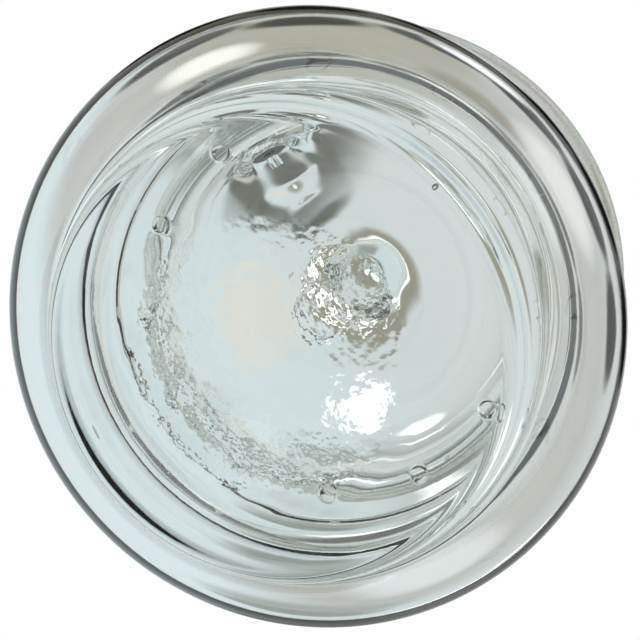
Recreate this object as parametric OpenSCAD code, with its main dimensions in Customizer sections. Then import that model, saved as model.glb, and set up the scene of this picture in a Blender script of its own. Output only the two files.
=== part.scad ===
// Vacuum desiccator with a greased flange, a domed lid with a solid knob, and a stopcock
// held by a rubber stopper in the lid's side neck. Millimetres, +Z up.
// The origin is the centre of the base's foot, on the plane that the foot stands on.

/* [Base] */
// Outer radius of the foot
foot_r = 70; // [68:0.5:72]
// Largest outer radius of the lower chamber
belly_r = 102; // [100:0.5:103]
// Outer radius of the upper chamber
chamber_r = 108; // [107:0.5:109]
// Height of the ground face of the base
base_h = 158; // [156:1:162]
// Height of the rounded seat that carries the plate
seat_z = 84; // [83:0.5:86]
// Depth of the hollow under the foot
punt_h = 0.3; // [0.2:0.1:0.6]
// Thickness of the bottom at its centre
bottom_t = 10; // [9:0.5:12]

/* [Flange] */
// Outer radius of both flanges
flange_r = 122; // [120:0.5:124]
// Radius of the mouth
mouth_r = 98; // [97:0.5:99]
// Thickness of the base's flange
base_flange_t = 14; // [12:0.5:15]
// Thickness of the lid's flange
lid_flange_t = 12.5; // [11:0.5:14]
// Thickness of the grease film between the ground faces
grease_t = 0.26; // [0.2:0.02:0.4]

/* [Lid] */
// Height of the dome above the lid's ground face
dome_h = 82; // [80:1:86]
// Thickness of the dome
dome_t = 6.8; // [6:0.2:8]
// Radius of the knob's neck
neck_r = 15.5; // [13:0.5:18]
// Radius of the knob's head
knob_r = 27; // [24:0.5:30]
// Height of the knob above the dome
knob_h = 42; // [38:1:46]

/* [Side neck] */
// Height of the side neck's axis above the lid's ground face
side_z = 40; // [39:0.5:42]
// Outer radius of the side neck
side_r = 21.5; // [20:0.5:22]
// Distance of the side neck's mouth from the vessel's axis
side_x = 128; // [127:0.5:130]

/* [Plate] */
// Radius of the plate
plate_r = 96.5; // [94.5:0.5:96.5]
// Thickness of the plate
plate_t = 6; // [5:0.5:8]

/* [Stopper and stopcock] */
// Radius of the stopper's narrow end
stopper_r1 = 12.4; // [12:0.1:12.8]
// Radius of the stopper's wide end
stopper_r2 = 14.6; // [14.2:0.1:15]
// Length of the stopper
stopper_len = 34; // [30:1:36]
// Radius of the glass tube through the stopper
tube_r = 4; // [3.5:0.25:4.5]
// Radius of the bore for the gas
gas_r = 1.5; // [1:0.25:1.75]
// Radius of the hose arm
hose_r = 4.5; // [4:0.25:5]
// Outer radius of the stopcock's barrel
barrel_r = 9.5; // [9:0.25:10.5]
// Half the length of the barrel
barrel_half = 17; // [16:0.5:19]

/* [Hidden] */
$fn = 96;

GLASS = [0.80, 0.86, 0.84, 0.45];
FITTED = 0.05;         // radial clearance of ground and running fits
TAPER_GAP = 0.1;       // radial clearance of the stopper in the side neck
FILM_GAP = 0.02;       // clearance above and below the grease film

lid_z = base_h + grease_t + 2 * FILM_GAP;
lid_inner_apex = lid_z + dome_h - dome_t;
side_axis_z = lid_z + side_z;

// Stopper, measured along the side neck's axis
stopper_x2 = side_x + 5;
stopper_x1 = stopper_x2 - stopper_len;
taper = (stopper_r2 - stopper_r1) / stopper_len;
function neck_bore_r(x) = stopper_r1 + (x - stopper_x1) * taper + TAPER_GAP;

// Stopcock, in the plane of the side neck
tube_in = 88;                        // inner end of the tube, inside the dome
bend_r = 12;
bend_x = 140;
riser_x = bend_x + bend_r;
barrel_z = side_axis_z + bend_r + 19;
arm_z = barrel_z + barrel_r + 6;     // where the hose arm becomes a plain cylinder
hose_len = 24;
plug_r1 = 6.8;                       // the plug's wide end
plug_r2 = 5.1;                       // the plug's narrow end
groove_r = 4.0;
ring_section_r = 1.4;
washer_t = 1.6;
washer_gap = 0.3;

// Points of a cubic curve from a to d, without a itself
function curve(a, b, c, d, n = 8) = [for (i = [1:n]) let (t = i / n, u = 1 - t)
    u * u * u * a + 3 * u * u * t * b + 3 * u * t * t * c + t * t * t * d];

// Points of an ellipse's quarter about the axis, from angle a0 to a1 above the rim
function dome_arc(r, z, h, a0, a1, n) = [for (i = [0:n]) let (a = a0 + (a1 - a0) * i / n)
    [r * cos(a), z + h * sin(a)]];

// ---- Base --------------------------------------------------------------------------

foot_edge = 5;
floor_z = punt_h + bottom_t;
flange_under = base_h - base_flange_t;
chamber_in = mouth_r + 1.5;          // inner radius of the upper chamber
seat_in = mouth_r - 4;               // inner radius below the seat
seat_rise = 12;                      // how far the seat's curve reaches above and below it

function base_outside() = concat(
    [[0, punt_h], [34, punt_h]],
    curve([34, punt_h], [38, punt_h], [42, 0], [46, 0], 5),
    [[foot_r - foot_edge - 1, 0]],
    curve([foot_r - foot_edge - 1, 0], [foot_r - 2.5, 0], [foot_r, 2], [foot_r, foot_edge], 6),
    curve([foot_r, foot_edge], [foot_r, 8.5], [foot_r + 1.5, 10.5], [foot_r + 6, 11.5], 5),
    curve([foot_r + 6, 11.5], [belly_r - 10, 14.5], [belly_r, 25], [belly_r, 42], 10),
    curve([belly_r, 42], [belly_r, 68], [chamber_r, 66], [chamber_r, 92], 9),
    [[chamber_r, base_h - 28]],
    curve([chamber_r, base_h - 28], [chamber_r, base_h - 20], [chamber_r + 4, flange_under - 1],
        [flange_r - 5, flange_under], 8),
    curve([flange_r - 5, flange_under], [flange_r - 2, flange_under], [flange_r, flange_under + 2],
        [flange_r, flange_under + 5], 4),
    [[flange_r, base_h - 1.5], [flange_r - 1.5, base_h]]);

function base_inside() = concat(
    [[mouth_r + 1.5, base_h], [mouth_r, base_h - 1.5], [mouth_r, base_h - 8]],
    curve([mouth_r, base_h - 8], [mouth_r, base_h - 14], [chamber_in, base_h - 18],
        [chamber_in, base_h - 26], 5),
    [[chamber_in, seat_z + seat_rise]],
    curve([chamber_in, seat_z + seat_rise], [chamber_in, seat_z + 2], [seat_in, seat_z],
        [seat_in, seat_z - seat_rise], 10),
    [[seat_in, 50]],
    curve([seat_in, 50], [seat_in, 32], [86, 21.5], [66, floor_z + 5.5], 10),
    curve([66, floor_z + 5.5], [48, floor_z + 1], [26, floor_z], [0, floor_z], 7));

module base_bowl() {
    color(GLASS)
        rotate_extrude()
            polygon(concat(base_outside(), base_inside()));
}

// ---- Seal ----------------------------------------------------------------------------

module flange_grease() {
    color([0.86, 0.87, 0.80, 0.6])
        translate([0, 0, base_h + FILM_GAP])
            difference() {
                cylinder(h = grease_t, r = flange_r - 2);
                translate([0, 0, -1])
                    cylinder(h = grease_t + 2, r = mouth_r + 2);
            }
}

// ---- Lid -----------------------------------------------------------------------------

dome_r = 104.5;
dome_base = lid_z + 26;
dome_rise = lid_z + dome_h - dome_base;
flare_r = 44;                        // where the knob's flare leaves the dome
flare_angle = acos(flare_r / dome_r);
flare_z = dome_base + dome_rise * sin(flare_angle);
inner_rise = lid_inner_apex - dome_base;
knob_base = lid_z + dome_h;
mouth_in = 70;                       // where the side neck's bore begins, inside the dome
funnel_r = 23;
funnel_x = 80;

function lid_outside() = concat(
    [[mouth_r + 1.5, lid_z], [flange_r - 1.5, lid_z], [flange_r, lid_z + 1.5],
        [flange_r, lid_z + lid_flange_t - 5]],
    curve([flange_r, lid_z + lid_flange_t - 5], [flange_r, lid_z + lid_flange_t - 1.5],
        [flange_r - 1.5, lid_z + lid_flange_t], [flange_r - 5, lid_z + lid_flange_t], 5),
    curve([flange_r - 5, lid_z + lid_flange_t], [dome_r + 4, lid_z + lid_flange_t + 0.5],
        [dome_r, lid_z + 18], [dome_r, dome_base], 6),
    dome_arc(dome_r, dome_base, dome_rise, 4, flare_angle, 14),
    curve([flare_r, flare_z], [flare_r - 16, flare_z + 4], [neck_r, flare_z + 8],
        [neck_r, knob_base + 12], 8),
    curve([neck_r, knob_base + 12], [neck_r, knob_base + 18], [knob_r, knob_base + 16],
        [knob_r, knob_base + 27], 7),
    curve([knob_r, knob_base + 27], [knob_r, knob_base + 36], [knob_r - 9, knob_base + knob_h],
        [0, knob_base + knob_h], 9));

function lid_inside() = concat(
    [for (i = [14:-1:0]) let (a = 90 * i / 14)
        [mouth_r * cos(a), dome_base + inner_rise * sin(a)]],
    [[mouth_r, lid_z + 1.5]]);

module dome_cavity() {
    rotate_extrude()
        polygon(concat([[0, lid_z - 5], [mouth_r, lid_z - 5]],
            [for (i = [0:14]) let (a = 90 * i / 14)
                [mouth_r * cos(a), dome_base + inner_rise * sin(a)]]));
}

// Revolved about the side neck's axis: [distance along it, radius]
module about_side_axis() {
    translate([0, 0, side_axis_z])
        rotate([0, 90, 0])
            rotate_extrude()
                children();
}

module swap_axes() {
    mirror([1, -1, 0])
        children();
}

module side_neck_solid() {
    about_side_axis()
        swap_axes()
            polygon(concat([[56, 0], [56, side_r + 9]],
                curve([56, side_r + 9], [74, side_r + 7], [92, side_r], [side_x - 16, side_r], 8),
                [[side_x - 11, side_r]],
                curve([side_x - 11, side_r], [side_x - 9, side_r], [side_x - 8, side_r + 2.5],
                    [side_x - 5, side_r + 2.5], 4),
                curve([side_x - 5, side_r + 2.5], [side_x - 1, side_r + 2.5],
                    [side_x, side_r + 1], [side_x, side_r - 1.5], 4),
                [[side_x, 0]]));
}

// The bore opens like a funnel into the dome
module side_neck_funnel() {
    about_side_axis()
        swap_axes()
            polygon(concat([[60, 0], [60, funnel_r], [funnel_x, funnel_r]],
                curve([funnel_x, funnel_r], [funnel_x + 6, funnel_r - 2],
                    [stopper_x1 - 6, neck_bore_r(stopper_x1)],
                    [stopper_x1 - 1, neck_bore_r(stopper_x1)], 8),
                [[stopper_x1 - 1, 0]]));
}

module lid() {
    color(GLASS)
        difference() {
            union() {
                rotate_extrude()
                    polygon(concat(lid_outside(), lid_inside()));
                difference() {
                    side_neck_solid();
                    dome_cavity();
                    translate([0, 0, lid_z - 60])
                        cylinder(h = 60 + lid_flange_t, r = flange_r + 20);
                }
            }
            translate([mouth_in, 0, side_axis_z])
                rotate([0, 90, 0])
                    cylinder(h = side_x + 5 - mouth_in, r1 = neck_bore_r(mouth_in),
                        r2 = neck_bore_r(side_x + 5));
            side_neck_funnel();
        }
}

// ---- Plate ---------------------------------------------------------------------------

plate_z = seat_z + 0.1;
// Rows of holes: [how many, radius of the row, radius of a hole]
PLATE_ROWS = [[1, 0, 11], [12, 81, 3.5]];

module perforated_plate() {
    color([0.84, 0.89, 0.87, 0.5])
        translate([0, 0, plate_z])
            difference() {
                rotate_extrude()
                    polygon([[0, 0], [plate_r - 1.2, 0], [plate_r, 1.2], [plate_r, plate_t - 1.2],
                        [plate_r - 1.2, plate_t], [0, plate_t]]);
                for (row = PLATE_ROWS)
                    for (i = [0:row[0] - 1])
                        rotate([0, 0, 360 * i / row[0]])
                            translate([row[1], 0, -1])
                                cylinder(h = plate_t + 2, r = row[2]);
            }
}

// ---- Stopper and stopcock --------------------------------------------------------------

module rubber_stopper() {
    chamfer = 1;
    color([0.30, 0.28, 0.26])
        about_side_axis()
            swap_axes()
                polygon([[stopper_x1, tube_r + FITTED], [stopper_x1, stopper_r1 - chamfer],
                    [stopper_x1 + chamfer, stopper_r1 + chamfer * taper],
                    [stopper_x2 - chamfer, stopper_r2 - chamfer * taper],
                    [stopper_x2, stopper_r2 - chamfer], [stopper_x2, tube_r + FITTED]]);
}

// The tube's path with section radius r: along the side neck, up round the bend, up the riser
module tube_path(r, start, top) {
    translate([start, 0, side_axis_z])
        rotate([0, 90, 0])
            cylinder(h = bend_x - start, r = r);
    translate([bend_x, 0, side_axis_z + bend_r])
        rotate([90, 0, 0])
            rotate([0, 0, -90])
                rotate_extrude(angle = 90)
                    translate([bend_r, 0])
                        circle(r = r);
    translate([riser_x, 0, side_axis_z + bend_r])
        cylinder(h = top - side_axis_z - bend_r, r = r);
}

module stopcock_barrel() {
    color(GLASS)
        difference() {
            union() {
                tube_path(tube_r, tube_in, barrel_z);
                translate([riser_x, barrel_half, barrel_z])
                    rotate([90, 0, 0])
                        rotate_extrude()
                            polygon([[0, 0], [barrel_r - 2.5, 0], [barrel_r - 1, 1.5],
                                [barrel_r, 2 * barrel_half - 5], [barrel_r + 1.2, 2 * barrel_half - 3],
                                [barrel_r + 1.2, 2 * barrel_half - 1], [barrel_r, 2 * barrel_half],
                                [0, 2 * barrel_half]]);
                translate([riser_x, 0, barrel_z])
                    rotate_extrude()
                        polygon([[0, 0], [tube_r, 0], [tube_r, barrel_r + 3], [hose_r, barrel_r + 6],
                            [hose_r, barrel_r + 6 + hose_len], [hose_r - 1, barrel_r + 7 + hose_len],
                            [0, barrel_r + 7 + hose_len]]);
            }
            tube_path(gas_r, tube_in - 1, arm_z + hose_len + 2);
            translate([riser_x, barrel_half + 1, barrel_z])
                rotate([90, 0, 0])
                    cylinder(h = 2 * barrel_half + 2,
                        r1 = plug_r2 + FITTED - (plug_r1 - plug_r2) / (2 * barrel_half),
                        r2 = plug_r1 + FITTED + (plug_r1 - plug_r2) / (2 * barrel_half));
        }
}

handle_y = 9;                        // from the barrel's wide end to the handle's bar
bar_half = 16;

module stopcock_key() {
    slope = (plug_r1 - plug_r2) / (2 * barrel_half);
    color([0.82, 0.87, 0.85, 0.5])
        translate([riser_x, 0, barrel_z])
            difference() {
                union() {
                    rotate([90, 0, 0])
                        rotate_extrude()
                            polygon(concat(
                                [[0, -barrel_half - 8], [3.6, -barrel_half - 8],
                                    [4.6, -barrel_half - 7], [4.6, -barrel_half - 5.3],
                                    [groove_r, -barrel_half - 5.1], [groove_r, -barrel_half - 2.1],
                                    [plug_r2 - 0.2, -barrel_half - 2], [plug_r2, -barrel_half],
                                    [plug_r1, barrel_half], [plug_r1 + slope, barrel_half + 1]],
                                curve([plug_r1 + slope, barrel_half + 1],
                                    [plug_r1, barrel_half + 4], [4.2, barrel_half + 3],
                                    [4.2, barrel_half + handle_y], 5),
                                [[0, barrel_half + handle_y]]));
                    translate([0, -barrel_half - handle_y, 0])
                        rotate_extrude()
                            polygon(concat([[0, -bar_half]],
                                curve([0, -bar_half], [3.5, -bar_half], [5, -bar_half + 2],
                                    [5, -bar_half + 5], 5),
                                curve([5, -bar_half + 5], [5, -7], [4.2, -4], [4.2, 0], 4),
                                curve([4.2, 0], [4.2, 4], [5, 7], [5, bar_half - 5], 4),
                                curve([5, bar_half - 5], [5, bar_half - 2], [3.5, bar_half],
                                    [0, bar_half], 5)));
                }
                translate([0, 0, -2 * plug_r1])
                    cylinder(h = 4 * plug_r1, r = gas_r);
            }
}

module keeper_washer() {
    color([0.95, 0.95, 0.93])
        translate([riser_x, barrel_half + washer_gap + washer_t, barrel_z])
            rotate([90, 0, 0])
                difference() {
                    cylinder(h = washer_t, r = barrel_r - 1.5);
                    translate([0, 0, -1])
                        cylinder(h = washer_t + 2, r = plug_r2 + FITTED);
                }
}

module keeper_ring() {
    color([0.22, 0.21, 0.20])
        translate([riser_x, barrel_half + 2.2 + ring_section_r, barrel_z])
            rotate([90, 0, 0])
                rotate_extrude()
                    translate([groove_r + ring_section_r + FITTED, 0])
                        circle(r = ring_section_r, $fn = 32);
}

base_bowl();
flange_grease();
lid();
perforated_plate();
rubber_stopper();
stopcock_barrel();
stopcock_key();
keeper_washer();
keeper_ring();
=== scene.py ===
import math

import bmesh
import bpy
import numpy as np
from mathutils import Matrix, Vector, noise


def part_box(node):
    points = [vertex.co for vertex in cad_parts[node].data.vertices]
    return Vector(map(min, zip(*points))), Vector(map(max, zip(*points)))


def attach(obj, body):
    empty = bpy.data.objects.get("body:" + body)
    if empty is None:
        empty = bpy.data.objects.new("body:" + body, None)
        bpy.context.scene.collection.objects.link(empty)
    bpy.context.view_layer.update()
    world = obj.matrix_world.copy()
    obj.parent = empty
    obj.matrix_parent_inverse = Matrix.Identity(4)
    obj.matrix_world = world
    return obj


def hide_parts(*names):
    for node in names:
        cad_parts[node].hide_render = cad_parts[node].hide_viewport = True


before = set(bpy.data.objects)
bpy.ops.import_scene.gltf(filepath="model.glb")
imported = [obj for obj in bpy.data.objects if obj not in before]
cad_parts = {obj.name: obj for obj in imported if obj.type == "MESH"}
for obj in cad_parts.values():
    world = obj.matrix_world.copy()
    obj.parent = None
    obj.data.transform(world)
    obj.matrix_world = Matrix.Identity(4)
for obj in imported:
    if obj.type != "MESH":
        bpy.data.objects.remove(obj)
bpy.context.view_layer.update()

# Lengths are in millimetres up to the meshes, which are in metres. +Z is up, +X runs along the side neck.
MM = 0.001

# ---- Driving dimensions, the same as the frame's ------------------------------------

FOOT_R, BELLY_R, CHAMBER_R = 70, 102, 108
BELLY_Z, LOWER_WALL_Z, CHAMBER_Z = 42, 50, 92
BASE_H, SEAT_Z, SEAT_RISE, PUNT_H, BOTTOM_T, FOOT_EDGE = 158, 84, 12, 0.3, 10, 5
PUNT_R, PUNT_EDGE, FOOT_STEP_Z = 34, 46, 11.5
FLANGE_R, MOUTH_R, BASE_FLANGE_T, LID_FLANGE_T = 122, 98, 14, 12.5
FLOOR_Z = PUNT_H + BOTTOM_T
CHAMBER_IN, SEAT_IN = MOUTH_R + 1.5, MOUTH_R - 4
LID_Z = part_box("lid")[0].z / MM
DOME_H, DOME_T, DOME_R, FLARE_R = 82, 6.8, 104.5, 44
NECK_R, KNOB_R, KNOB_H = 15.5, 27, 42
DOME_BASE = LID_Z + 26
KNOB_BASE = LID_Z + DOME_H
SIDE_AXIS_Z = LID_Z + 40
SIDE_R, SIDE_X = 21.5, 128
FUNNEL_R, FUNNEL_X = 23, 80
PLATE_R, PLATE_T = 96.5, 6
PLATE_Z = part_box("perforated_plate")[0].z / MM
STOPPER_X1, STOPPER_X2 = (corner.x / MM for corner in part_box("rubber_stopper"))
STOPPER_R1, STOPPER_R2 = 12.4, 14.6
NECK_GAP = 0.1
TUBE_R, GAS_R, HOSE_R, HOSE_LEN = 4, 1.5, 4.5, 24
TUBE_IN, BEND_R, BEND_X = 88, 12, 140
RISER_X = BEND_X + BEND_R
BARREL_R, BARREL_HALF = 9.5, 17
BARREL_Z = SIDE_AXIS_Z + BEND_R + 19
PLUG_R1, PLUG_R2, GROOVE_R, FITTED = 6.8, 5.1, 4.0, 0.05
HANDLE_Y, BAR_HALF, BAR_R, STEM_R = 9, 16, 5, 4.2


# How many sides each round shape gets.
VESSEL_SIDES, NECK_SIDES, BORE_SIDES, PLATE_SIDES, HOLE_SIDES = 256, 160, 128, 224, 64
BARREL_SIDES, ARM_SIDES, TUBE_SIDES, GAS_SIDES, BUBBLE_SIDES = 96, 72, 56, 32, 20

# ---- Outlines: the outer handles of each bend are given ---------------------------------


class Outline:
    """A half section, as points [distance from the axis, place along it], made stretch by stretch."""

    def __init__(self, *start):
        self.points = [np.array(start, float)]

    def line(self, *end, step=3.0):
        start, end = self.points[-1], np.array(end, float)
        count = max(1, math.ceil(np.linalg.norm(end - start) / step))
        self.points += [start + (end - start) * i / count for i in range(1, count + 1)]
        return self

    def bend(self, b, c, d, step=1.2):
        a, b, c, d = (np.array(p, float) for p in (self.points[-1], b, c, d))
        length = sum(np.linalg.norm(q - p) for p, q in ((a, b), (b, c), (c, d)))
        count = max(4, math.ceil(length / step))
        for i in range(1, count + 1):
            t = i / count
            u = 1 - t
            self.points.append(u**3 * a + 3 * u * u * t * b + 3 * u * t * t * c + t**3 * d)
        return self

    def oval(self, r, z, h, first, last, count):
        """A stretch of an ellipse round the axis, from angle first to last above its rim."""
        for i in range(1, count + 1):
            a = math.radians(first + (last - first) * i / count)
            self.points.append(np.array((r * math.cos(a), z + h * math.sin(a))))
        return self

    def array(self):
        return np.array(self.points)


def base_outline():
    o = Outline(0, PUNT_H).line(PUNT_R, PUNT_H, step=1)
    o.bend((PUNT_R + 4, PUNT_H), (PUNT_EDGE - 4, 0), (PUNT_EDGE, 0), step=0.7).line(FOOT_R - FOOT_EDGE - 1, 0)
    o.bend((FOOT_R - 2.5, 0), (FOOT_R, 2), (FOOT_R, FOOT_EDGE), step=0.4)
    o.bend((FOOT_R, FOOT_STEP_Z - 3), (FOOT_R + 1.5, FOOT_STEP_Z - 1), (FOOT_R + 6, FOOT_STEP_Z), step=0.4)
    o.bend((BELLY_R - 10, FOOT_STEP_Z + 3), (BELLY_R, BELLY_Z - 17), (BELLY_R, BELLY_Z))
    o.bend((BELLY_R, BELLY_Z + 26), (CHAMBER_R, CHAMBER_Z - 26), (CHAMBER_R, CHAMBER_Z))
    o.line(CHAMBER_R, BASE_H - 28)
    under = BASE_H - BASE_FLANGE_T
    o.bend((CHAMBER_R, BASE_H - 20), (CHAMBER_R + 4, under - 1), (FLANGE_R - 5, under))
    o.bend((FLANGE_R - 2, under), (FLANGE_R, under + 2), (FLANGE_R, under + 5), step=0.5)
    o.line(FLANGE_R, BASE_H - 2)
    o.bend((FLANGE_R, BASE_H - 0.7), (FLANGE_R - 0.7, BASE_H), (FLANGE_R - 2, BASE_H), step=0.4)
    o.line(MOUTH_R + 1.5, BASE_H)
    o.bend((MOUTH_R + 0.5, BASE_H), (MOUTH_R, BASE_H - 0.5), (MOUTH_R, BASE_H - 1.5), step=0.4)
    o.line(MOUTH_R, BASE_H - 8)
    o.bend((MOUTH_R, BASE_H - 14), (CHAMBER_IN, BASE_H - 18), (CHAMBER_IN, BASE_H - 26))
    o.line(CHAMBER_IN, SEAT_Z + SEAT_RISE)
    o.bend((CHAMBER_IN, SEAT_Z + 2), (SEAT_IN, SEAT_Z), (SEAT_IN, SEAT_Z - SEAT_RISE))
    o.line(SEAT_IN, LOWER_WALL_Z).bend((SEAT_IN, LOWER_WALL_Z - 18), (86, 21.5), (66, FLOOR_Z + 5.5))
    return o.bend((48, FLOOR_Z + 1), (26, FLOOR_Z), (0, FLOOR_Z), step=1.0).array()


def lid_outline():
    """The lid's outside, filled down to its ground face."""
    flare_angle = math.degrees(math.acos(FLARE_R / DOME_R))
    flare_z = DOME_BASE + (KNOB_BASE - DOME_BASE) * math.sin(math.radians(flare_angle))
    top = LID_Z + LID_FLANGE_T
    o = Outline(0, LID_Z).line(FLANGE_R - 1.5, LID_Z, step=8).line(FLANGE_R, LID_Z + 1.5, step=0.5)
    o.line(FLANGE_R, top - 5)
    o.bend((FLANGE_R, top - 1.5), (FLANGE_R - 1.5, top), (FLANGE_R - 5, top), step=0.7)
    o.bend((DOME_R + 4, top + 0.5), (DOME_R, LID_Z + 18), (DOME_R, DOME_BASE), step=1.0)
    o.oval(DOME_R, DOME_BASE, KNOB_BASE - DOME_BASE, 0, flare_angle, 60)
    o.bend((FLARE_R - 16, flare_z + 4), (NECK_R, flare_z + 8), (NECK_R, KNOB_BASE + 12), step=1.0)
    o.bend((NECK_R, KNOB_BASE + 18), (KNOB_R, KNOB_BASE + 16), (KNOB_R, KNOB_BASE + 27), step=1.0)
    o.bend((KNOB_R, KNOB_BASE + 36), (KNOB_R - 9, KNOB_BASE + KNOB_H), (0, KNOB_BASE + KNOB_H), step=1.0)
    return o.array()


def cavity_outline():
    """The space inside the lid, carried on below its ground face."""
    below = LID_Z - 10
    o = Outline(0, below).line(MOUTH_R + 1.5, below, step=12).line(MOUTH_R + 1.5, LID_Z)
    o.line(MOUTH_R, LID_Z + 1.5, step=0.5).line(MOUTH_R, DOME_BASE)
    return o.oval(MOUTH_R, DOME_BASE, KNOB_BASE - DOME_T - DOME_BASE, 0, 90, 90).array()


def side_neck_outline():
    root, lip_r = 56, SIDE_R + 2.5
    o = Outline(0, root).line(SIDE_R + 9, root)
    o.bend((SIDE_R + 7, root + 18), (SIDE_R, root + 36), (SIDE_R, SIDE_X - 16)).line(SIDE_R, SIDE_X - 11)
    o.bend((SIDE_R, SIDE_X - 9), (lip_r, SIDE_X - 8), (lip_r, SIDE_X - 5), step=0.6)
    o.bend((lip_r, SIDE_X - 1), (SIDE_R + 1, SIDE_X), (SIDE_R - 1.5, SIDE_X), step=0.6)
    return o.line(0, SIDE_X).array()


def neck_bore_r(x):
    return STOPPER_R1 + (x - STOPPER_X1) * (STOPPER_R2 - STOPPER_R1) / (STOPPER_X2 - STOPPER_X1) + NECK_GAP


def side_bore_outline():
    """The side neck's bore, which opens like a funnel into the dome."""
    bore, mouth, rim = neck_bore_r(STOPPER_X1), neck_bore_r(SIDE_X), SIDE_X - 1.2
    start, past = FUNNEL_X - 14, SIDE_X + 6
    o = Outline(0, start).line(FUNNEL_R, start).line(FUNNEL_R, FUNNEL_X)
    o.bend((FUNNEL_R - 2, FUNNEL_X + 6), (bore, STOPPER_X1 - 6), (bore, STOPPER_X1 - 1), step=0.8)
    o.line(neck_bore_r(rim), rim)
    o.bend((mouth + 0.1, SIDE_X - 0.5), (mouth + 0.8, SIDE_X), (mouth + 2, SIDE_X), step=0.4)
    return o.line(mouth + 2, past).line(0, past).array()


def plate_outline():
    o = Outline(0, PLATE_Z).line(PLATE_R - 2, PLATE_Z)
    o.bend((PLATE_R - 0.6, PLATE_Z), (PLATE_R, PLATE_Z + 0.8), (PLATE_R, PLATE_Z + 2), step=0.5)
    o.line(PLATE_R, PLATE_Z + PLATE_T - 2)
    o.bend((PLATE_R, PLATE_Z + PLATE_T - 0.8), (PLATE_R - 0.6, PLATE_Z + PLATE_T),
           (PLATE_R - 2, PLATE_Z + PLATE_T), step=0.5)
    return o.line(0, PLATE_Z + PLATE_T).array()


def hole_outline(radius):
    """A hole through the plate, with rounded rims."""
    low, high = PLATE_Z, PLATE_Z + PLATE_T
    o = Outline(0, low - 2).line(radius + 1, low - 2).line(radius + 1, low)
    o.bend((radius + 0.3, low), (radius, low + 0.5), (radius, low + 1.2), step=0.3)
    o.line(radius, high - 1.2)
    o.bend((radius, high - 0.5), (radius + 0.3, high), (radius + 1, high), step=0.3)
    return o.line(radius + 1, high + 2).line(0, high + 2).array()


def barrel_outline():
    """Along the barrel's axis from its narrow end."""
    r, end = BARREL_R, 2 * BARREL_HALF
    o = Outline(0, 0).line(r - 2.5, 0).bend((r - 1.4, 0), (r - 1, 0.6), (r - 1, 1.5), step=0.3)
    o.line(r, end - 5).bend((r + 0.1, end - 4), (r + 1.2, end - 4), (r + 1.2, end - 3), step=0.3)
    o.line(r + 1.2, end - 1).bend((r + 1.2, end - 0.4), (r + 0.8, end), (r, end), step=0.3)
    return o.line(0, end).array()


def hose_arm_outline():
    foot, start = BARREL_R + 3, BARREL_R + 6
    o = Outline(0, 0).line(TUBE_R, 0).line(TUBE_R, foot)
    o.bend((TUBE_R, foot + 1.5), (HOSE_R, foot + 1.5), (HOSE_R, start), step=0.4)
    o.line(HOSE_R, start + HOSE_LEN)
    tip = start + HOSE_LEN + 1
    o.bend((HOSE_R, tip - 0.4), (HOSE_R - 0.4, tip), (HOSE_R - 1, tip), step=0.3)
    return o.line(0, tip).array()


def plug_outline():
    """Along the plug's axis from its narrow end, where the keeper ring sits."""
    end, slope = BARREL_HALF, (PLUG_R1 - PLUG_R2) / (2 * BARREL_HALF)
    o = Outline(0, -end - 8).line(3.6, -end - 8)
    o.bend((4.3, -end - 8), (4.6, -end - 7.7), (4.6, -end - 7), step=0.3).line(4.6, -end - 5.3)
    o.line(GROOVE_R, -end - 5.1).line(GROOVE_R, -end - 2.1).line(PLUG_R2 - 0.2, -end - 2)
    o.line(PLUG_R2, -end).line(PLUG_R1, end).line(PLUG_R1 + slope, end + 1)
    o.bend((PLUG_R1, end + 4), (STEM_R, end + 3), (STEM_R, end + HANDLE_Y), step=0.5)
    return o.line(0, end + HANDLE_Y).array()


def handle_outline():
    o = Outline(0, -BAR_HALF)
    o.bend((3.5, -BAR_HALF), (BAR_R, -BAR_HALF + 2), (BAR_R, -BAR_HALF + 5), step=0.5)
    o.bend((BAR_R, -7), (STEM_R, -4), (STEM_R, 0), step=0.7)
    o.bend((STEM_R, 4), (BAR_R, 7), (BAR_R, BAR_HALF - 5), step=0.7)
    return o.bend((BAR_R, BAR_HALF - 2), (3.5, BAR_HALF), (0, BAR_HALF), step=0.5).array()


def stopper_outline():
    """Along the side neck's axis, with a slightly domed outer end and a moulded step."""
    slope = (STOPPER_R2 - STOPPER_R1) / (STOPPER_X2 - STOPPER_X1)
    hole = TUBE_R + FITTED
    first, last = STOPPER_X1, STOPPER_X2
    o = Outline(hole, first).line(STOPPER_R1 - 1.2, first)
    o.bend((STOPPER_R1 - 0.4, first), (STOPPER_R1, first + 0.4),
           (STOPPER_R1 + 1.2 * slope, first + 1.2), step=0.3)
    o.line(STOPPER_R2 - 1.4 * slope, last - 1.4)
    o.bend((STOPPER_R2, last - 0.6), (STOPPER_R2 - 0.5, last), (STOPPER_R2 - 1.6, last), step=0.3)
    o.line(hole + 2.4, last - 0.1)
    o.bend((hole + 1.2, last - 0.1), (hole + 0.3, last - 0.3), (hole, last - 1), step=0.3)
    return o.line(hole, first).array()[:-1]


# ---- Solids: a mesh and the distance to its surface, so that joins can be filleted --------

SAME_PLACE, SHARP_DEGREES = 0.004, 38


class Solid:
    """A closed mesh with vertices in millimetres and a function for the signed distance to it."""

    def __init__(self, vertices, faces, distance):
        self.vertices, self.faces, self.distance = vertices, faces, distance


def to_polyline(points, line, block=4096):
    """Distance of 2-D points to a polyline, a block of points at a time."""
    a, b = line[:-1], line[1:]
    along = b - a
    squared = np.maximum((along**2).sum(1), 1e-12)
    found = np.empty(len(points))
    for start in range(0, len(points), block):
        p = points[start:start + block, None, :]
        t = np.clip(((p - a) * along).sum(2) / squared, 0, 1)
        found[start:start + block] = np.sqrt((((p - a) - t[..., None] * along) ** 2).sum(2).min(1))
    return found


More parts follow.
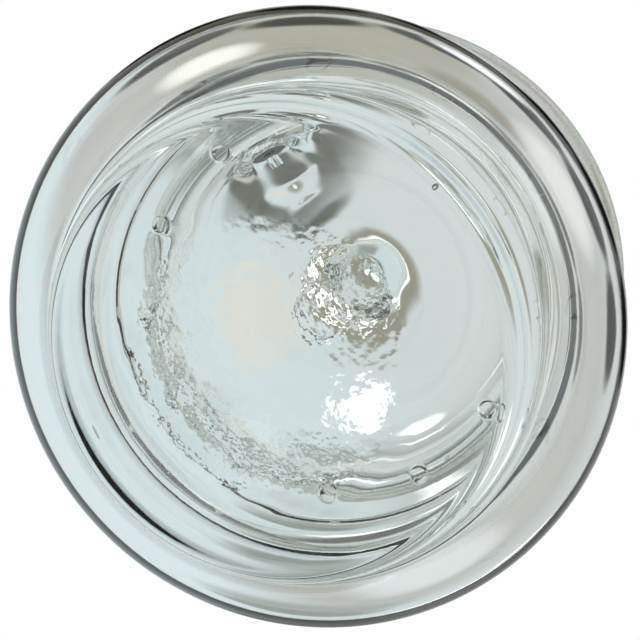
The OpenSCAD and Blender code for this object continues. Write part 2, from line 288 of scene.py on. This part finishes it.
def inside(points, line):
    """True for the 2-D points inside the closed outline."""
    a, b = line, np.roll(line, -1, 0)
    found = np.zeros(len(points), bool)
    for (x0, y0), (x1, y1) in zip(a, b):
        if y0 != y1:
            crosses = (y0 > points[:, 1]) != (y1 > points[:, 1])
            found ^= crosses & (points[:, 0] < x0 + (points[:, 1] - y0) * (x1 - x0) / (y1 - y0))
    return found


def turned(outline, segments, place=Matrix.Identity(4)):
    """The solid that an outline makes when it is turned about Z, then placed by a matrix in millimetres."""
    ring_angles = np.arange(segments) * 2 * math.pi / segments
    vertices, rings = [], []
    for r, z in outline:
        if r < 1e-6:
            rings.append([len(vertices)])
            vertices.append((0, 0, z))
        else:
            rings.append(list(range(len(vertices), len(vertices) + segments)))
            vertices += [(r * math.cos(a), r * math.sin(a), z) for a in ring_angles]
    closed = len(rings[0]) > 1 or len(rings[-1]) > 1
    pairs = list(zip(rings, rings[1:])) + ([(rings[-1], rings[0])] if closed else [])
    faces = []
    for low, high in pairs:
        for i in range(segments):
            j = (i + 1) % segments
            if len(low) == 1 and len(high) == 1:
                continue
            if len(low) == 1:
                faces.append((low[0], high[j], high[i]))
            elif len(high) == 1:
                faces.append((low[i], low[j], high[0]))
            else:
                faces.append((low[i], low[j], high[j], high[i]))
    m = np.array(place)
    back = np.array(place.inverted())
    world = np.array(vertices) @ m[:3, :3].T + m[:3, 3]

    def distance(points):
        local = points @ back[:3, :3].T + back[:3, 3]
        flat = np.c_[np.hypot(local[:, 0], local[:, 1]), local[:, 2]]
        return to_polyline(flat, outline) * np.where(inside(flat, outline), -1, 1)

    return Solid(world, faces, distance)


def swept(path, radius, segments):
    """A round rod along a path in the plane of the side neck."""
    path = np.array(path, float)
    vertices, faces = [], []
    for i, p in enumerate(path):
        ahead = path[min(i + 1, len(path) - 1)] - path[max(i - 1, 0)]
        ahead /= np.linalg.norm(ahead)
        side = np.array((ahead[2], 0, -ahead[0]))
        for k in range(segments):
            a = 2 * math.pi * k / segments
            vertices.append(p + radius * (math.cos(a) * side + math.sin(a) * np.array((0, 1, 0))))
    for i in range(len(path) - 1):
        for k in range(segments):
            j = (k + 1) % segments
            low, high = i * segments, (i + 1) * segments
            faces.append((low + k, high + k, high + j, low + j))
    faces.append(tuple(range(segments)))
    faces.append(tuple(range(len(vertices) - 1, len(vertices) - 1 - segments, -1)))
    flat_path = path[:, [0, 2]]

    def distance(points):
        away = to_polyline(points[:, [0, 2]], flat_path)
        return np.hypot(away, points[:, 1]) - radius

    return Solid(np.array(vertices), faces, distance)


def tube_path(first_x, top):
    bend = [(BEND_X + BEND_R * math.sin(a), 0, SIDE_AXIS_Z + BEND_R * (1 - math.cos(a)))
            for a in np.linspace(0, math.pi / 2, 25)]
    return [(x, 0, SIDE_AXIS_Z) for x in np.linspace(first_x, BEND_X - 1, 30)] + bend + [
        (RISER_X, 0, z) for z in np.linspace(SIDE_AXIS_Z + BEND_R + 1, top, 14)]


def as_object(solid, name):
    mesh = bpy.data.meshes.new(name)
    mesh.from_pydata((solid.vertices * MM).tolist(), [], solid.faces)
    mesh.update()
    bm = bmesh.new()
    bm.from_mesh(mesh)
    bmesh.ops.recalc_face_normals(bm, faces=bm.faces)
    bm.to_mesh(mesh)
    bm.free()
    obj = bpy.data.objects.new(name, mesh)
    bpy.context.scene.collection.objects.link(obj)
    return obj


def combine(obj, other, operation):
    """A boolean of two closed meshes, which uses the second one up."""
    modifier = obj.modifiers.new("combine", "BOOLEAN")
    modifier.operation, modifier.object, modifier.solver = operation, other, "MANIFOLD"
    bpy.context.view_layer.update()
    result = bpy.data.meshes.new_from_object(obj.evaluated_get(bpy.context.evaluated_depsgraph_get()))
    obj.modifiers.clear()
    obj.data = result
    bpy.data.objects.remove(other)


def soft_minimum(distances, width):
    """The distance to solids joined by fillets of about that width."""
    total = distances[0]
    for d in distances[1:]:
        near = np.clip(1 - np.abs(total - d) / width, 0, 1)
        total = np.minimum(total, d) - near**2 * width / 4
    return total


def fillet(obj, solids, width, finest=1.2):
    """Splits the long edges near the joins of the solids in obj, and moves its vertices onto the fillets."""
    bm = bmesh.new()
    bm.from_mesh(obj.data)
    for _ in range(3):
        places = np.array([v.co for v in bm.verts]) / MM
        nearest = np.sort(np.array([s.distance(places) for s in solids]), 0)
        in_zone = nearest[1] - nearest[0] < width * 1.1
        bm.verts.ensure_lookup_table()
        long_edges = [e for e in bm.edges if e.calc_length() > finest * MM * 1.4
                      and in_zone[e.verts[0].index] and in_zone[e.verts[1].index]]
        if not long_edges:
            break
        bmesh.ops.subdivide_edges(bm, edges=long_edges, cuts=1)
        bmesh.ops.triangulate(bm, faces=[f for f in bm.faces if len(f.verts) > 4])
        bm.verts.index_update()
    bmesh.ops.dissolve_degenerate(bm, dist=0.02 * MM, edges=bm.edges)
    bm.verts.index_update()
    places = np.array([v.co for v in bm.verts]) / MM
    nearest = np.sort(np.array([s.distance(places) for s in solids]), 0)
    moving = np.flatnonzero(nearest[1] - nearest[0] < width)
    p, nudge, flattest = places[moving], 0.02, 0.05

    def field(points):
        return soft_minimum([s.distance(points) for s in solids], width)

    for _ in range(4):
        value = field(p)
        slope = np.stack([(field(p + step) - field(p - step)) / (2 * nudge) for step in np.eye(3) * nudge], 1)
        p = p - (value / np.maximum((slope**2).sum(1), flattest))[:, None] * slope
    bm.verts.ensure_lookup_table()
    for i, place in zip(moving, p):
        bm.verts[i].co = Vector(place * MM)
    bm.to_mesh(obj.data)
    bm.free()


def united(name, solids, width, finest=1.2):
    obj = as_object(solids[0], name)
    for i, s in enumerate(solids[1:]):
        combine(obj, as_object(s, f"{name}_{i}"), "UNION")
    fillet(obj, solids, width, finest)
    return obj


def finish_mesh(obj):
    """Merges vertices that lie on each other, and shades smooth up to SHARP_DEGREES."""
    bm = bmesh.new()
    bm.from_mesh(obj.data)
    bmesh.ops.remove_doubles(bm, verts=bm.verts, dist=SAME_PLACE * MM)
    bm.to_mesh(obj.data)
    bm.free()
    obj.data.shade_smooth()
    obj.data.set_sharp_from_angle(angle=math.radians(SHARP_DEGREES))


def coat(obj, *materials):
    obj.data.materials.clear()
    for material in materials:
        obj.data.materials.append(material)


def relief(obj, height):
    """Moves each vertex along its normal by height(place, normal), in metres."""
    normals = [v.normal.copy() for v in obj.data.vertices]
    for v, n in zip(obj.data.vertices, normals):
        v.co += n * height(v.co, n)
    obj.data.update()


ABOUT_SIDE_AXIS = Matrix.Translation((0, 0, SIDE_AXIS_Z)) @ Matrix.Rotation(math.pi / 2, 4, "Y")
ABOUT_BARREL_AXIS = Matrix.Translation((RISER_X, 0, BARREL_Z)) @ Matrix.Rotation(math.pi / 2, 4, "X")


# ---- Materials -----------------------------------------------------------------------

GLASS_IOR, GREASE_IOR = 1.5, 1.42
SMEAR, SPECK, HAZE, GROUND_ROUGH = 0.012, 0.12, 0.012, 0.2
CLEAR, CLEAR_DEPTH = (0.99, 0.995, 0.995), (0.76, 0.90, 0.87)
CHILLED_R = 41
CHILLED_BUMPS = ((7, 0.32), (2.8, 0.17), (1.2, 0.03))
MOULD_RIPPLES = ((9, 0.012), (2.2, 0.003))
DRAWN_RIPPLES = ((12, 0.004),)


class Nodes:
    """A material's node tree, with short ways to add and join nodes."""

    def __init__(self, name):
        self.material = bpy.data.materials.new(name)
        self.material.use_nodes = True
        self.tree = self.material.node_tree
        self.tree.nodes.clear()
        self.output = self.add("ShaderNodeOutputMaterial")
        self.place = self.add("ShaderNodeTexCoord").outputs["Object"]

    def add(self, kind, **settings):
        node = self.tree.nodes.new(kind)
        for key, value in settings.items():
            setattr(node, key, value)
        return node

    def join(self, source, target):
        self.tree.links.new(source, target)

    def noise(self, size_mm, detail=3.0, roughness=0.5, distortion=0.0):
        """Noise between 0 and 1 whose features are about size_mm across."""
        node = self.add("ShaderNodeTexNoise")
        self.join(self.place, node.inputs["Vector"])
        node.inputs["Scale"].default_value = 1 / (size_mm * MM)
        node.inputs["Detail"].default_value = detail
        node.inputs["Roughness"].default_value = roughness
        node.inputs["Distortion"].default_value = distortion
        return node.outputs["Fac"]

    def ramp(self, source, low, high, out_low, out_high):
        """Maps low..high of the source to out_low..out_high, and holds the ends."""
        node = self.add("ShaderNodeMapRange", interpolation_type="SMOOTHSTEP")
        self.join(source, node.inputs["Value"])
        for key, value in (("From Min", low), ("From Max", high), ("To Min", out_low), ("To Max", out_high)):
            node.inputs[key].default_value = value
        return node.outputs["Result"]

    def sum(self, a, b):
        node = self.add("ShaderNodeMath", operation="ADD")
        self.join(a, node.inputs[0])
        self.join(b, node.inputs[1])
        return node.outputs[0]

    def height(self):
        node = self.add("ShaderNodeSeparateXYZ")
        self.join(self.place, node.inputs[0])
        return node.outputs["Z"]

    def from_foot_centre(self):
        """Distance from the origin, with heights counted ten times."""
        flat = self.add("ShaderNodeVectorMath", operation="MULTIPLY")
        self.join(self.place, flat.inputs[0])
        flat.inputs[1].default_value = (1, 1, 10)
        length = self.add("ShaderNodeVectorMath", operation="LENGTH")
        self.join(flat.outputs["Vector"], length.inputs[0])
        return length.outputs["Value"]

    def bump(self, height, depth_mm, strength=1.0, below=None):
        node = self.add("ShaderNodeBump")
        node.inputs["Distance"].default_value = depth_mm * MM
        if isinstance(strength, float):
            node.inputs["Strength"].default_value = strength
        else:
            self.join(strength, node.inputs["Strength"])
        self.join(height, node.inputs["Height"])
        if below:
            self.join(below, node.inputs["Normal"])
        return node.outputs["Normal"]


def glass(name, tint, absorbed, density, ripples=MOULD_RIPPLES, ground=None, chilled=False):
    """Clear glass: ripples, faint smears, a little haze, and a tint that grows with depth.

    ground is the height of a ground face, and +1 if the glass lies above it or -1 if below.
    """
    n = Nodes(name)
    shader = n.add("ShaderNodeBsdfPrincipled")
    shader.inputs["Base Color"].default_value = (*tint, 1)
    shader.inputs["Transmission Weight"].default_value = 1.0
    shader.inputs["IOR"].default_value = GLASS_IOR
    smears = n.ramp(n.noise(26, detail=6, roughness=0.62, distortion=0.8), 0.52, 0.74, 0.0, SMEAR)
    specks = n.ramp(n.noise(1.3, detail=2), 0.72, 0.80, 0.0, SPECK)
    rough = n.sum(smears, specks)
    if ground:
        level, side = ground
        near, far = (level + side * 0.15) * MM, (level + side * 0.6) * MM
        rough = n.sum(rough, n.ramp(n.height(), near, far, GROUND_ROUGH, 0.0))
    n.join(rough, shader.inputs["Roughness"])
    normal = None
    if chilled:
        disc = n.ramp(n.from_foot_centre(), (CHILLED_R - 3) * MM, (CHILLED_R + 1) * MM, 1.0, 0.0)
        for size, depth in CHILLED_BUMPS:
            normal = n.bump(n.noise(size, detail=1.5), depth, disc, below=normal)
    for size, depth in ripples:
        normal = n.bump(n.noise(size, detail=1.5), depth, below=normal)
    n.join(normal, shader.inputs["Normal"])
    film = n.add("ShaderNodeBsdfDiffuse")
    film.inputs["Color"].default_value = (0.86, 0.87, 0.85, 1)
    film_mix = n.add("ShaderNodeMixShader")
    patchy = n.noise(17, detail=7, roughness=0.7, distortion=0.5)
    n.join(n.ramp(patchy, 0.5, 0.8, 0.0, HAZE), film_mix.inputs[0])
    n.join(shader.outputs[0], film_mix.inputs[1])
    n.join(film.outputs[0], film_mix.inputs[2])
    lit = n.add("ShaderNodeBsdfTransparent")
    lit.inputs["Color"].default_value = (0.93, 0.95, 0.94, 1)
    path = n.add("ShaderNodeLightPath")
    shadow_mix = n.add("ShaderNodeMixShader")
    n.join(path.outputs["Is Shadow Ray"], shadow_mix.inputs[0])
    n.join(film_mix.outputs[0], shadow_mix.inputs[1])
    n.join(lit.outputs[0], shadow_mix.inputs[2])
    n.join(shadow_mix.outputs[0], n.output.inputs["Surface"])
    if density:
        depth = n.add("ShaderNodeVolumeAbsorption")
        depth.inputs["Color"].default_value = (*absorbed, 1)
        depth.inputs["Density"].default_value = density
        n.join(depth.outputs[0], n.output.inputs["Volume"])
    return n.material


def ground_glass(name, roughness):
    """A ground face: glass with a fine grain that scatters what is behind it."""
    n = Nodes(name)
    shader = n.add("ShaderNodeBsdfPrincipled")
    shader.inputs["Base Color"].default_value = (0.94, 0.96, 0.95, 1)
    shader.inputs["Transmission Weight"].default_value = 1.0
    shader.inputs["IOR"].default_value = GLASS_IOR
    n.join(n.ramp(n.noise(3, detail=5, roughness=0.7), 0.35, 0.7, roughness * 0.6, roughness),
           shader.inputs["Roughness"])
    n.join(n.bump(n.noise(0.35, detail=2), 0.01, 0.6), shader.inputs["Normal"])
    n.join(shader.outputs[0], n.output.inputs["Surface"])
    return n.material


def solid_matter(name, light, dark, grain_mm, roughness, depth_mm, sheen=0.0, speckle=0.0):
    """An opaque material with uneven colour, grain and wear."""
    n = Nodes(name)
    shader = n.add("ShaderNodeBsdfPrincipled")
    mix = n.add("ShaderNodeMix", data_type="RGBA")
    n.join(n.ramp(n.noise(grain_mm * 8, detail=5, roughness=0.6), 0.3, 0.7, 0.0, 1.0), mix.inputs["Factor"])
    mix.inputs["A"].default_value = (*dark, 1)
    mix.inputs["B"].default_value = (*light, 1)
    bloom = n.add("ShaderNodeMix", data_type="RGBA")
    n.join(n.ramp(n.noise(grain_mm * 0.8, detail=2), 0.62, 0.78, 0.0, speckle), bloom.inputs["Factor"])
    n.join(mix.outputs["Result"], bloom.inputs["A"])
    bloom.inputs["B"].default_value = (0.62, 0.60, 0.56, 1)
    n.join(bloom.outputs["Result"], shader.inputs["Base Color"])
    n.join(n.ramp(n.noise(grain_mm * 5, detail=4), 0.3, 0.7, roughness * 0.8, min(1, roughness * 1.15)),
           shader.inputs["Roughness"])
    n.join(n.bump(n.noise(grain_mm, detail=4, roughness=0.7), depth_mm), shader.inputs["Normal"])
    shader.inputs["Sheen Weight"].default_value = sheen
    n.join(shader.outputs[0], n.output.inputs["Surface"])
    return n.material


VESSEL = glass("vessel_glass_clear", CLEAR, CLEAR_DEPTH, 4.0, ground=(BASE_H, -1), chilled=True)
LID_GLASS = glass("lid_glass_clear", CLEAR, CLEAR_DEPTH, 4.0, ground=(LID_Z, 1))
PLATE_GLASS = glass("plate_glass_clear", CLEAR, CLEAR_DEPTH, 4.0, ripples=((14, 0.01),))
TUBE_GLASS = glass("tube_glass_clear", (0.985, 0.995, 0.995), (0.80, 0.92, 0.90), 6.0, ripples=DRAWN_RIPPLES)
KEY_GLASS = glass("key_glass_clear", (0.95, 0.975, 0.97), None, 0, ripples=DRAWN_RIPPLES)
GROUND = ground_glass("ground_face", 0.22)
RUBBER = solid_matter("stopper_rubber_aged", (0.085, 0.075, 0.06), (0.045, 0.04, 0.034), 0.5, 0.62, 0.03,
                      sheen=0.15, speckle=0.25)
RING = solid_matter("ring_rubber_black", (0.03, 0.03, 0.03), (0.012, 0.012, 0.012), 0.3, 0.5, 0.01,
                    speckle=0.1)
WASHER = solid_matter("washer_plastic_white", (0.86, 0.86, 0.84), (0.74, 0.74, 0.71), 0.4, 0.42, 0.008)


# ---- The vessel ------------------------------------------------------------------------


def hammered(p, size_mm):
    return noise.noise(p / (size_mm * MM))


def base_relief(p, normal):
    """The mould's chilled disc under the foot, and slow waves in the walls.

    The flange and the foot's rim stay true.
    """
    r, z = math.hypot(p.x, p.y) / MM, p.z / MM
    faces_down = normal.z < -0.8
    if z > BASE_H - BASE_FLANGE_T - 1:
        return 0.0
    if faces_down and r < PUNT_EDGE and z < 3:
        fade = min(1, max(0, (PUNT_EDGE - 1 - r) / 5))
        return fade * MM * (0.05 * hammered(p, 4.5) + 0.09 * hammered(p, 9))
    if faces_down and z < 0.5:
        return 0.0
    wave = 0.018 * (1 + hammered(p, 34)) + 0.006 * (1 + hammered(p, 12))
    return -MM * wave


def bubble(angle, away, height, size, stretch):
    """A gas bubble in the foot's glass, as long as size times stretch across the radius."""
    o = Outline(0, -size).bend((0.55 * size, -size), (size, -0.55 * size), (size, 0), step=0.15)
    o.bend((size, 0.55 * size), (0.55 * size, size), (0, size), step=0.15)
    there = Matrix.Rotation(math.radians(angle), 4, "Z") @ Matrix.Translation((away, 0, height))
    return as_object(turned(o.array(), BUBBLE_SIDES, there @ Matrix.Diagonal((1, stretch, 1, 1))), "bubble")


# Bubbles: angle, distance from the axis, height, size and stretch.
BUBBLES = ((76, 65, 6, 0.75, 1), (-107, 49, 5, 0.6, 1), (-83, 61, 5, 0.35, 7), (150, 57, 6, 0.4, 2))
LID_FILLET, FUNNEL_FILLET, STOPCOCK_FILLET = 14, 4, 3

base = as_object(turned(base_outline(), VESSEL_SIDES), "base_bowl_glass")
for where_and_size in BUBBLES:
    combine(base, bubble(*where_and_size), "DIFFERENCE")
finish_mesh(base)
relief(base, base_relief)
coat(base, VESSEL)
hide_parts("base_bowl")
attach(base, "base")

lid_parts = [turned(lid_outline(), VESSEL_SIDES), turned(side_neck_outline(), NECK_SIDES, ABOUT_SIDE_AXIS)]
lid = united("lid_glass", lid_parts, LID_FILLET)
hollow_parts = [turned(cavity_outline(), VESSEL_SIDES), turned(side_bore_outline(), BORE_SIDES, ABOUT_SIDE_AXIS)]
combine(lid, united("lid_hollow", hollow_parts, FUNNEL_FILLET), "DIFFERENCE")
finish_mesh(lid)
coat(lid, LID_GLASS)
for face in lid.data.polygons:
    face.material_index = 0
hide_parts("lid")
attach(lid, "cover")

# ---- The plate -------------------------------------------------------------------------

# Rows of holes: how many, the radius of the row, and the radius of a hole.
PLATE_ROWS = ((1, 0, 11), (12, 81, 3.5))
plate = as_object(turned(plate_outline(), PLATE_SIDES), "plate_glass_disc")
for count, row_r, hole_r in PLATE_ROWS:
    for i in range(count):
        a = 2 * math.pi * i / count
        there = Matrix.Translation((row_r * math.cos(a), row_r * math.sin(a), 0))
        combine(plate, as_object(turned(hole_outline(hole_r), HOLE_SIDES, there), "hole"), "DIFFERENCE")
finish_mesh(plate)
coat(plate, PLATE_GLASS)
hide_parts("perforated_plate")
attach(plate, "plate")

# ---- The stopper and stopcock ------------------------------------------------------------

stopper = as_object(turned(stopper_outline(), BORE_SIDES, ABOUT_SIDE_AXIS), "stopper_rubber_bung")
finish_mesh(stopper)
coat(stopper, RUBBER)
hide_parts("rubber_stopper")
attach(stopper, "bung")

narrow_end = Matrix.Translation((RISER_X, BARREL_HALF, BARREL_Z)) @ Matrix.Rotation(math.pi / 2, 4, "X")
above_barrel = Matrix.Translation((RISER_X, 0, BARREL_Z))
barrel = united("stopcock_barrel_glass", [
    turned(barrel_outline(), BARREL_SIDES, narrow_end),
    swept(tube_path(TUBE_IN, BARREL_Z), TUBE_R, TUBE_SIDES),
    turned(hose_arm_outline(), ARM_SIDES, above_barrel),
], STOPCOCK_FILLET, finest=0.7)
taper = (PLUG_R1 - PLUG_R2) / (2 * BARREL_HALF)
seat = Outline(0, -1).line(PLUG_R2 + FITTED - taper, -1).line(PLUG_R1 + FITTED + taper, 2 * BARREL_HALF + 1)
seat = seat.line(0, 2 * BARREL_HALF + 1).array()
combine(barrel, as_object(turned(seat, BARREL_SIDES, narrow_end), "seat"), "DIFFERENCE")
top = BARREL_Z + BARREL_R + 7 + HOSE_LEN + 1
combine(barrel, as_object(swept(tube_path(TUBE_IN - 1, top), GAS_R, GAS_SIDES), "gas_way"), "DIFFERENCE")
finish_mesh(barrel)
coat(barrel, TUBE_GLASS)
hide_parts("stopcock_barrel")
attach(barrel, "barrel")

handle_place = Matrix.Translation((RISER_X, -BARREL_HALF - HANDLE_Y, BARREL_Z))
key = united("stopcock_key_glass", [
    turned(plug_outline(), BARREL_SIDES, ABOUT_BARREL_AXIS),
    turned(handle_outline(), ARM_SIDES, handle_place),
], STOPCOCK_FILLET, finest=0.6)
past_plug = 9
way = Outline(0, -past_plug).line(GAS_R, -past_plug).line(GAS_R, past_plug).line(0, past_plug).array()
combine(key, as_object(turned(way, GAS_SIDES, above_barrel), "key_way"), "DIFFERENCE")
finish_mesh(key)
coat(key, KEY_GLASS, GROUND)
for face in key.data.polygons:
    away = math.hypot(face.center.x - RISER_X * MM, face.center.z - BARREL_Z * MM)
    on_plug = abs(face.center.y) < BARREL_HALF * MM and away > 2 * GAS_R * MM
    face.material_index = int(on_plug)
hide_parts("stopcock_key")
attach(key, "key")

coat(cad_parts["keeper_washer"], WASHER)
coat(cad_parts["keeper_ring"], RING)

grease = Nodes("grease_film")
shader = grease.add("ShaderNodeBsdfPrincipled")
shader.inputs["Base Color"].default_value = (0.93, 0.93, 0.88, 1)
shader.inputs["Transmission Weight"].default_value = 0.9
shader.inputs["IOR"].default_value = GREASE_IOR
grease.join(grease.ramp(grease.noise(5, detail=5), 0.3, 0.7, 0.10, 0.34), shader.inputs["Roughness"])
grease.join(grease.bump(grease.noise(2.5), 0.05), shader.inputs["Normal"])
grease.join(shader.outputs[0], grease.output.inputs["Surface"])
coat(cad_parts["flange_grease"], grease.material)

# ---- Stage -----------------------------------------------------------------------------

FLOOR_R, FLOOR_BELOW, FLOOR_SIDES = 6, 0.0003, 96
floor_mesh = bpy.data.meshes.new("stage_floor")
rim = [2 * math.pi * i / FLOOR_SIDES for i in range(FLOOR_SIDES)]
floor_mesh.from_pydata([(FLOOR_R * math.cos(a), FLOOR_R * math.sin(a), -FLOOR_BELOW) for a in rim], [],
                       [range(FLOOR_SIDES)])
floor = bpy.data.objects.new("stage_floor", floor_mesh)
bpy.context.scene.collection.objects.link(floor)
paper = Nodes("stage_paper")
matt = paper.add("ShaderNodeBsdfDiffuse")
matt.inputs["Color"].default_value = (0.86, 0.86, 0.85, 1)
gap = paper.add("ShaderNodeBsdfTransparent")
one_sided = paper.add("ShaderNodeMixShader")
paper.join(paper.add("ShaderNodeNewGeometry").outputs["Backfacing"], one_sided.inputs[0])
paper.join(matt.outputs[0], one_sided.inputs[1])
paper.join(gap.outputs[0], one_sided.inputs[2])
paper.join(one_sided.outputs[0], paper.output.inputs["Surface"])
floor_mesh.materials.append(paper.material)

VESSEL_MIDDLE = Vector((0, 0, 0.14))


def softbox(name, place, size, watts, colour=(1, 1, 1)):
    """A lamp that faces the vessel, and that mirror and see-through rays don't meet."""
    lamp = bpy.data.lights.new(name, "AREA")
    lamp.shape, lamp.size, lamp.size_y = "RECTANGLE", size[0], size[1]
    lamp.energy, lamp.color = watts, colour
    obj = bpy.data.objects.new(name, lamp)
    bpy.context.scene.collection.objects.link(obj)
    obj.location = place
    obj.rotation_euler = (VESSEL_MIDDLE - Vector(place)).to_track_quat("-Z", "Y").to_euler()
    obj.visible_camera = obj.visible_glossy = obj.visible_transmission = False


softbox("key_light", (-1.1, -0.9, 1.9), (1.2, 1.2), 16, (1.0, 0.99, 0.97))
softbox("fill_light", (1.6, -0.6, 1.1), (0.9, 1.4), 5, (0.96, 0.98, 1.0))
softbox("back_light", (0.2, 1.8, 1.3), (1.4, 0.8), 6)

# The room that the glass mirrors and bends: a tone for each height, then soft patches. STOPS go from
# straight down at 0 to straight up at 1.
ROOM_STRENGTH = 1.25
scene = bpy.context.scene
world = bpy.data.worlds.new("studio")
scene.world = world
world.use_nodes = True
tree = world.node_tree
tree.nodes.clear()
out = tree.nodes.new("ShaderNodeOutputWorld")
seen = tree.nodes.new("ShaderNodeBackground")
seen.inputs["Color"].default_value = (1, 1, 1, 1)
around = tree.nodes.new("ShaderNodeBackground")
around.inputs["Strength"].default_value = ROOM_STRENGTH
sky = tree.nodes.new("ShaderNodeTexCoord")
split = tree.nodes.new("ShaderNodeSeparateXYZ")
tree.links.new(sky.outputs["Generated"], split.inputs[0])
ramp = tree.nodes.new("ShaderNodeValToRGB")
shift = tree.nodes.new("ShaderNodeMapRange")
shift.inputs["From Min"].default_value = -1
tree.links.new(split.outputs["Z"], shift.inputs["Value"])
tree.links.new(shift.outputs["Result"], ramp.inputs["Fac"])
STOPS = (
    (0.0, (0.86, 0.87, 0.88)),
    (0.30, (0.66, 0.68, 0.68)),
    (0.45, (0.50, 0.51, 0.49)),
    (0.60, (0.44, 0.44, 0.41)),
    (0.78, (0.40, 0.41, 0.39)),
    (0.93, (0.50, 0.52, 0.51)),
    (1.0, (0.58, 0.60, 0.60)),
)
while len(ramp.color_ramp.elements) < len(STOPS):
    ramp.color_ramp.elements.new(0.5)
for element, (position, colour) in zip(ramp.color_ramp.elements, STOPS):
    element.position, element.color = position, (*colour, 1)
room = ramp.outputs["Color"]
# Each patch: azimuth and elevation of its middle, how far it reaches at full strength and at none, all in
# degrees, and its colour. They are set on a grid of five degrees.
DARK_SCREEN = [((azimuth, elevation), 6, 11, (0.02, 0.02, 0.018))
               for azimuth, elevation in zip(range(-15, 136, 30), (50, 50, 60, 60, 55, 50))]
PATCHES = [
    ((-90, 40), 25, 50, (0.58, 0.66, 0.68)),
    ((25, 35), 18, 36, (0.34, 0.33, 0.27)),
    ((-135, 40), 5, 16, (0.30, 0.33, 0.31)),
    ((-105, 80), 3, 6, (0.24, 0.22, 0.165)),
    ((-95, 80), 1, 2, (1.3, 1.32, 1.3)),
    *DARK_SCREEN,
    ((-20, 70), 5, 13, (0.08, 0.08, 0.065)),
    ((55, 65), 3, 9, (0.95, 0.96, 0.95)),
    ((-85, 70), 1, 7, (0.66, 0.65, 0.60)),
    ((-130, 70), 1.5, 4, (1.6, 1.6, 1.55)),
    ((-155, 65), 1.5, 4, (1.25, 1.28, 1.26)),
    ((-130, 50), 4, 10, (0.24, 0.26, 0.24)),
    ((0, 15), 5, 14, (0.85, 0.84, 0.78)),
    ((65, 15), 8, 18, (0.27, 0.26, 0.22)),
    ((95, 30), 8, 20, (0.64, 0.65, 0.63)),
    ((-165, 15), 8, 20, (0.62, 0.64, 0.64)),
]
for (azimuth, elevation), full, none, colour in PATCHES:
    azimuth, elevation = math.radians(azimuth), math.radians(elevation)
    near = tree.nodes.new("ShaderNodeVectorMath")
    near.operation = "DOT_PRODUCT"
    tree.links.new(sky.outputs["Generated"], near.inputs[0])
    near.inputs[1].default_value = (math.cos(azimuth) * math.cos(elevation),
                                    math.sin(azimuth) * math.cos(elevation), math.sin(elevation))
    fade = tree.nodes.new("ShaderNodeMapRange")
    fade.interpolation_type = "SMOOTHSTEP"
    fade.inputs["From Min"].default_value = math.cos(math.radians(none))
    fade.inputs["From Max"].default_value = math.cos(math.radians(full))
    tree.links.new(near.outputs["Value"], fade.inputs["Value"])
    patch = tree.nodes.new("ShaderNodeMix")
    patch.data_type = "RGBA"
    tree.links.new(fade.outputs["Result"], patch.inputs["Factor"])
    tree.links.new(room, patch.inputs["A"])
    patch.inputs["B"].default_value = (*colour, 1)
    room = patch.outputs["Result"]
tree.links.new(room, around.inputs["Color"])
which = tree.nodes.new("ShaderNodeMixShader")
rays = tree.nodes.new("ShaderNodeLightPath")
tree.links.new(rays.outputs["Is Camera Ray"], which.inputs[0])
tree.links.new(around.outputs[0], which.inputs[1])
tree.links.new(seen.outputs[0], which.inputs[2])
tree.links.new(which.outputs[0], out.inputs["Surface"])

scene.view_settings.view_transform = "Standard"
scene.cycles.max_bounces = scene.cycles.transmission_bounces = 24
scene.cycles.transparent_max_bounces = 16

# ---- Camera: under the foot, with the vessel's axis leaning away to the upper right --------

FOOT_AWAY, LENS_MM, SENSOR_MM = 0.200, 40.3, 36
TILT, LEAN, NECK_TURN = math.radians(15.5), math.radians(40), math.radians(121)
axis_seen = Vector((math.sin(TILT) * math.cos(LEAN), math.sin(TILT) * math.sin(LEAN), -math.cos(TILT)))
neck_seen = Vector((math.cos(NECK_TURN), math.sin(NECK_TURN), 0))
neck_seen = (neck_seen - axis_seen * neck_seen.dot(axis_seen)).normalized()
across_seen = axis_seen.cross(neck_seen)
turn = Matrix((neck_seen, across_seen, axis_seen))
foot_seen = Vector((-0.0150, -0.0110, -FOOT_AWAY))
lens = bpy.data.cameras.new("camera")
lens.lens, lens.sensor_width = LENS_MM, SENSOR_MM
lens.clip_start, lens.clip_end = 0.005, 50
camera = bpy.data.objects.new("camera", lens)
scene.collection.objects.link(camera)
camera.matrix_world = Matrix.Translation(-(turn @ foot_seen)) @ turn.to_4x4()
scene.camera = camera
